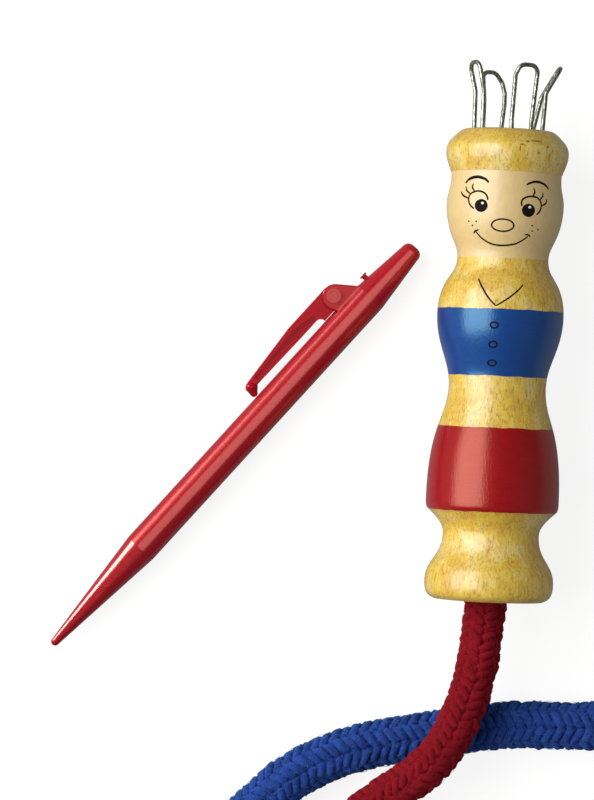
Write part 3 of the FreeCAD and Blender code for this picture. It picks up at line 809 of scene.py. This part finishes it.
def route_line(route):
    """Points read from the smooth spline that the route controls."""
    curve = bpy.data.curves.new("route", "CURVE")
    curve.dimensions = "3D"
    spline = curve.splines.new("NURBS")
    spline.points.add(len(route) - 1)
    for point, place in zip(spline.points, route):
        point.co = (*(Vector(place) * MM), 1.0)
    spline.use_endpoint_u = True
    spline.order_u = 3
    spline.resolution_u = ROUTE_RESOLUTION
    holder = bpy.data.objects.new("route", curve)
    mesh = bpy.data.meshes.new_from_object(holder)
    line = np.array([tuple(vertex.co) for vertex in mesh.vertices])
    bpy.data.meshes.remove(mesh)
    bpy.data.objects.remove(holder)
    bpy.data.curves.remove(curve)
    return line


class CordPath:
    """A line at even steps, with a sideways and an outward direction at each point that don't twist."""

    def __init__(self, route):
        line = route_line(route)
        lengths = np.concatenate(([0.0], np.cumsum(np.linalg.norm(np.diff(line, axis=0), axis=1))))
        self.length = float(lengths[-1])
        count = round(self.length / PATH_STEP) + 1
        self.along = np.linspace(0.0, self.length, count)
        self.points = np.column_stack([np.interp(self.along, lengths, line[:, k]) for k in range(3)])
        self.ease()
        forward = np.gradient(self.points, axis=0)
        self.forward = forward / np.linalg.norm(forward, axis=1)[:, None]
        self.outward = np.zeros_like(self.points)
        direction = np.array((0.0, 0.0, 1.0))
        for index, ahead in enumerate(self.forward):
            direction = direction - ahead * direction.dot(ahead)
            direction /= np.linalg.norm(direction)
            self.outward[index] = direction
        self.sideways = np.cross(self.forward, self.outward)

    def ease(self):
        """Smooths out the small changes of curvature that the spline has."""
        for _ in range(EASING_PASSES):
            self.points[1:-1] = (self.points[:-2] + 2 * self.points[1:-1] + self.points[2:]) / 4

    def at(self, along, values):
        """The values of the line's points, read at lengths along it."""
        return np.column_stack([np.interp(along, self.along, values[:, k]) for k in range(3)])

    def place(self, along, angle, distance):
        """Points at a distance from the line and an angle round it, and their directions from the line."""
        outward = self.at(along, self.outward)
        sideways = self.at(along, self.sideways)
        radial = outward * np.cos(angle)[:, None] + sideways * np.sin(angle)[:, None]
        return self.at(along, self.points) + radial * distance[:, None], radial


def stitched_yarn(path, knit, end_closed):
    """Centre points of one strand of yarn that is knitted round the cord, and their outward directions."""
    diameter, radius, depth = knit
    stitches = WALES * (path.length - 2 * LOOP_HALF_HEIGHT) / ROW_PITCH
    count = int(stitches * POINTS_PER_STITCH)
    turn = np.arange(count) / POINTS_PER_STITCH
    phase = math.tau * turn
    along = LOOP_HALF_HEIGHT + turn * ROW_PITCH / WALES - LOOP_HALF_HEIGHT * np.cos(phase)
    around = (turn + LOOP_OVERHANG * np.sin(2 * phase)) / WALES * math.tau
    distance = diameter / 2 - radius - depth * (1 + np.cos(2 * phase))
    knots = np.random.default_rng(STITCH_SEED).normal(0.0, 1.0, (int(stitches * 2) + 4, 3))
    wobble = [np.interp(turn * 2, np.arange(len(knots)), knots[:, k]) for k in range(3)]
    wobble = np.column_stack(wobble) * np.array(STITCH_SPREAD)
    along = np.clip(along + wobble[:, 0], 0.0, path.length)
    if end_closed:
        left = np.clip((path.length - along) / END_ROUNDING, 0.0, 1.0)
        distance = distance * np.sqrt(1 - (1 - left) ** 2)
    return path.place(along, around + wobble[:, 1], distance + wobble[:, 2])


def yarn_tube(centres, outward, radius):
    """A lobed tube along a strand: two plies that turn about each other, with a rough woollen skin."""
    forward = np.gradient(centres, axis=0)
    steps = np.linalg.norm(forward, axis=1)
    forward /= steps[:, None]
    first = outward - forward * np.sum(outward * forward, axis=1)[:, None]
    first /= np.linalg.norm(first, axis=1)[:, None]
    second = np.cross(forward, first)
    twist = np.cumsum(steps) / PLY_TURN * math.tau
    wool = np.random.default_rng(WOOL_SEED)
    rings = []
    for side in range(YARN_SIDES):
        angle = math.tau * side / YARN_SIDES
        reach = radius * (1 + PLY_DEPTH * np.cos(2 * (angle - twist)))
        reach = reach * (1 + WOOL_ROUGHNESS * wool.normal(0.0, 1.0, len(centres)).clip(-2, 1.5))
        direction = first * math.cos(angle) + second * math.sin(angle)
        rings.append(centres + direction * reach[:, None])
    vertices = np.stack(rings, axis=1).reshape(-1, 3)
    return vertices, tube_faces(len(centres), YARN_SIDES)


def core_tube(path, knit):
    """The plain inside of the cord, which shows between stitches."""
    diameter, radius, depth = knit
    along = np.arange(CORE_INSET, path.length - CORE_INSET, 2 * PATH_STEP)
    reach = np.full(len(along), diameter / 2 - 2 * radius - depth)
    ends = np.minimum(along - CORE_INSET, path.length - CORE_INSET - along) / CORE_TAPER
    reach = reach * np.sqrt(1 - (1 - np.clip(ends + CORE_TIP, 0, 1)) ** 2)
    rings = []
    for side in range(CORE_SIDES):
        angle = np.full(len(along), math.tau * side / CORE_SIDES)
        rings.append(path.place(along, angle, reach)[0])
    vertices = np.stack(rings, axis=1).reshape(-1, 3)
    return vertices, tube_faces(len(along), CORE_SIDES)


def wool_hairs(path, knit, count):
    """Short loose fibres of the wool that bridge the stitches, with both ends in them."""
    draw = np.random.default_rng(HAIR_SEED)
    middle = draw.uniform(HAIR_MARGIN, path.length - HAIR_MARGIN, count)
    length = draw.uniform(*HAIR_LENGTH, count)
    heading = draw.uniform(0, math.tau, count)
    start_angle = draw.uniform(0, math.tau, count)
    bend = draw.normal(0.0, HAIR_BEND, count)
    reach = knit[0] / 2
    rings = []
    for share in np.linspace(-0.5, 0.5, HAIR_RINGS):
        turned = heading + bend * share * 2
        along = middle + length * share * np.cos(turned)
        angle = start_angle + length * share * np.sin(turned) / reach
        distance = np.full(count, reach + HAIR_LIFT - HAIR_SINK * (2 * share) ** 4)
        rings.append(path.place(along, angle, distance))
    places = np.stack([ring[0] for ring in rings], axis=1)
    radial = np.stack([ring[1] for ring in rings], axis=1)
    forward = np.gradient(places, axis=1)
    side = np.cross(forward, radial)
    side /= np.linalg.norm(side, axis=2)[..., None]
    corners = []
    for corner in range(HAIR_SIDES):
        turn = (0.25 + corner / HAIR_SIDES) * math.tau
        corners.append(places + (side * math.cos(turn) + radial * math.sin(turn)) * HAIR_RADIUS)
    vertices = np.stack(corners, axis=2).reshape(-1, 3)
    faces = []
    for hair in range(count):
        faces += tube_faces(HAIR_RINGS, HAIR_SIDES, hair * HAIR_RINGS * HAIR_SIDES)
    return vertices, faces


def knitted_cord(name, node, route, knit, wool, hair, hairs, end_closed=False):
    """One colour of the cord: its strand, its core and its loose hairs as one piece."""
    path = CordPath(route)
    centres, outward = stitched_yarn(path, knit, end_closed)
    parts = [yarn_tube(centres, outward, knit[1]), core_tube(path, knit), wool_hairs(path, knit, hairs)]
    vertices, faces = gathered(parts)
    piece = new_object(name, vertices, faces, wool)
    piece.data.materials.append(hair)
    of_hair = len(parts[2][1])
    finish = [0] * (len(faces) - of_hair) + [1] * of_hair
    piece.data.polygons.foreach_set("material_index", finish)
    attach(piece, "dolly")
    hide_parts(node)


# ================================================================ the clip's spring
# The CAD model's coil, made again here as a mesh.
SPRING_FOOT = Vector((-33.348, 66.313, 3.75)) * MM
SPRING_AXIS = Vector(TOOL_OUTWARD)
SPRING_HEIGHT = 1.40 * MM
SPRING_RADIUS = 0.50 * MM
SPRING_WIRE = 0.13 * MM        # radius
SPRING_TURNS = 2.5
SPRING_STEPS = 120             # along the wire
SPRING_SIDES = 12              # round the wire


def coil_spring(name, material):
    """The wire of the spring, riding on the tool."""
    across = SPRING_AXIS.cross(UP)
    rise = SPRING_HEIGHT - 2 * SPRING_WIRE
    pitch = rise / (SPRING_TURNS * math.tau)
    vertices = []
    for step in range(SPRING_STEPS + 1):
        angle = SPRING_TURNS * math.tau * step / SPRING_STEPS
        radial = across * math.cos(angle) + UP * math.sin(angle)
        onward = UP * math.cos(angle) - across * math.sin(angle)
        forward = (onward * SPRING_RADIUS + SPRING_AXIS * pitch).normalized()
        centre = SPRING_FOOT + SPRING_AXIS * (SPRING_WIRE + pitch * angle) + radial * SPRING_RADIUS
        upright = forward.cross(radial)
        for side in range(SPRING_SIDES):
            turn = math.tau * side / SPRING_SIDES
            vertices.append(centre + (radial * math.cos(turn) + upright * math.sin(turn)) * SPRING_WIRE)
    piece = new_object(name, vertices, tube_faces(SPRING_STEPS + 1, SPRING_SIDES), material)
    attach(piece, "tool")
    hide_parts("clip_spring")
    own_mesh(piece)


# ================================================================ the scene
bpy.context.scene.view_settings.view_transform = "Standard"
set_camera()
set_floor()
set_world()
set_lights()

red_wool = yarn("red_yarn", rgb(0.16, 0.003, 0.009), rgb(0.30, 0.006, 0.016), rgb(0.5, 0.03, 0.04))
blue_wool = yarn("blue_yarn", rgb(0.008, 0.022, 0.16), rgb(0.032, 0.098, 0.48), rgb(0.08, 0.28, 0.62))
red_hair = yarn("red_hair", rgb(0.22, 0.008, 0.014), rgb(0.40, 0.030, 0.035), rgb(0.5, 0.10, 0.10))
blue_hair = yarn("blue_hair", rgb(0.03, 0.08, 0.36), rgb(0.11, 0.24, 0.62), rgb(0.15, 0.38, 0.65))
knitted_cord(
    "cord_red_stitches",
    "i_cord_red",
    RED_ROUTE,
    RED_KNIT,
    red_wool,
    red_hair,
    RED_HAIRS,
)
knitted_cord(
    "cord_blue_stitches",
    "i_cord_blue",
    BLUE_ROUTE,
    BLUE_KNIT,
    blue_wool,
    blue_hair,
    BLUE_HAIRS,
    end_closed=True,
)

finish_node("doll_body", painted_wood())
zinc = galvanised()
for side in ("front", "right", "back", "left"):
    finish_node("wire_loop_" + side, zinc)
finish_node("tool_body", red_plastic("red_plastic", 1.0, 0.04, 0.85))
finish_node("tool_clip", red_plastic("red_clip_plastic", 0.5, 0.16, 1.0))
finish_node("clip_pin", red_plastic("red_pin_plastic", 1.0, 0.04, 0.3))
steel = spring_steel()
finish_node("clip_spring", steel)
coil_spring("clip_spring_coil", steel)
draw_ink()
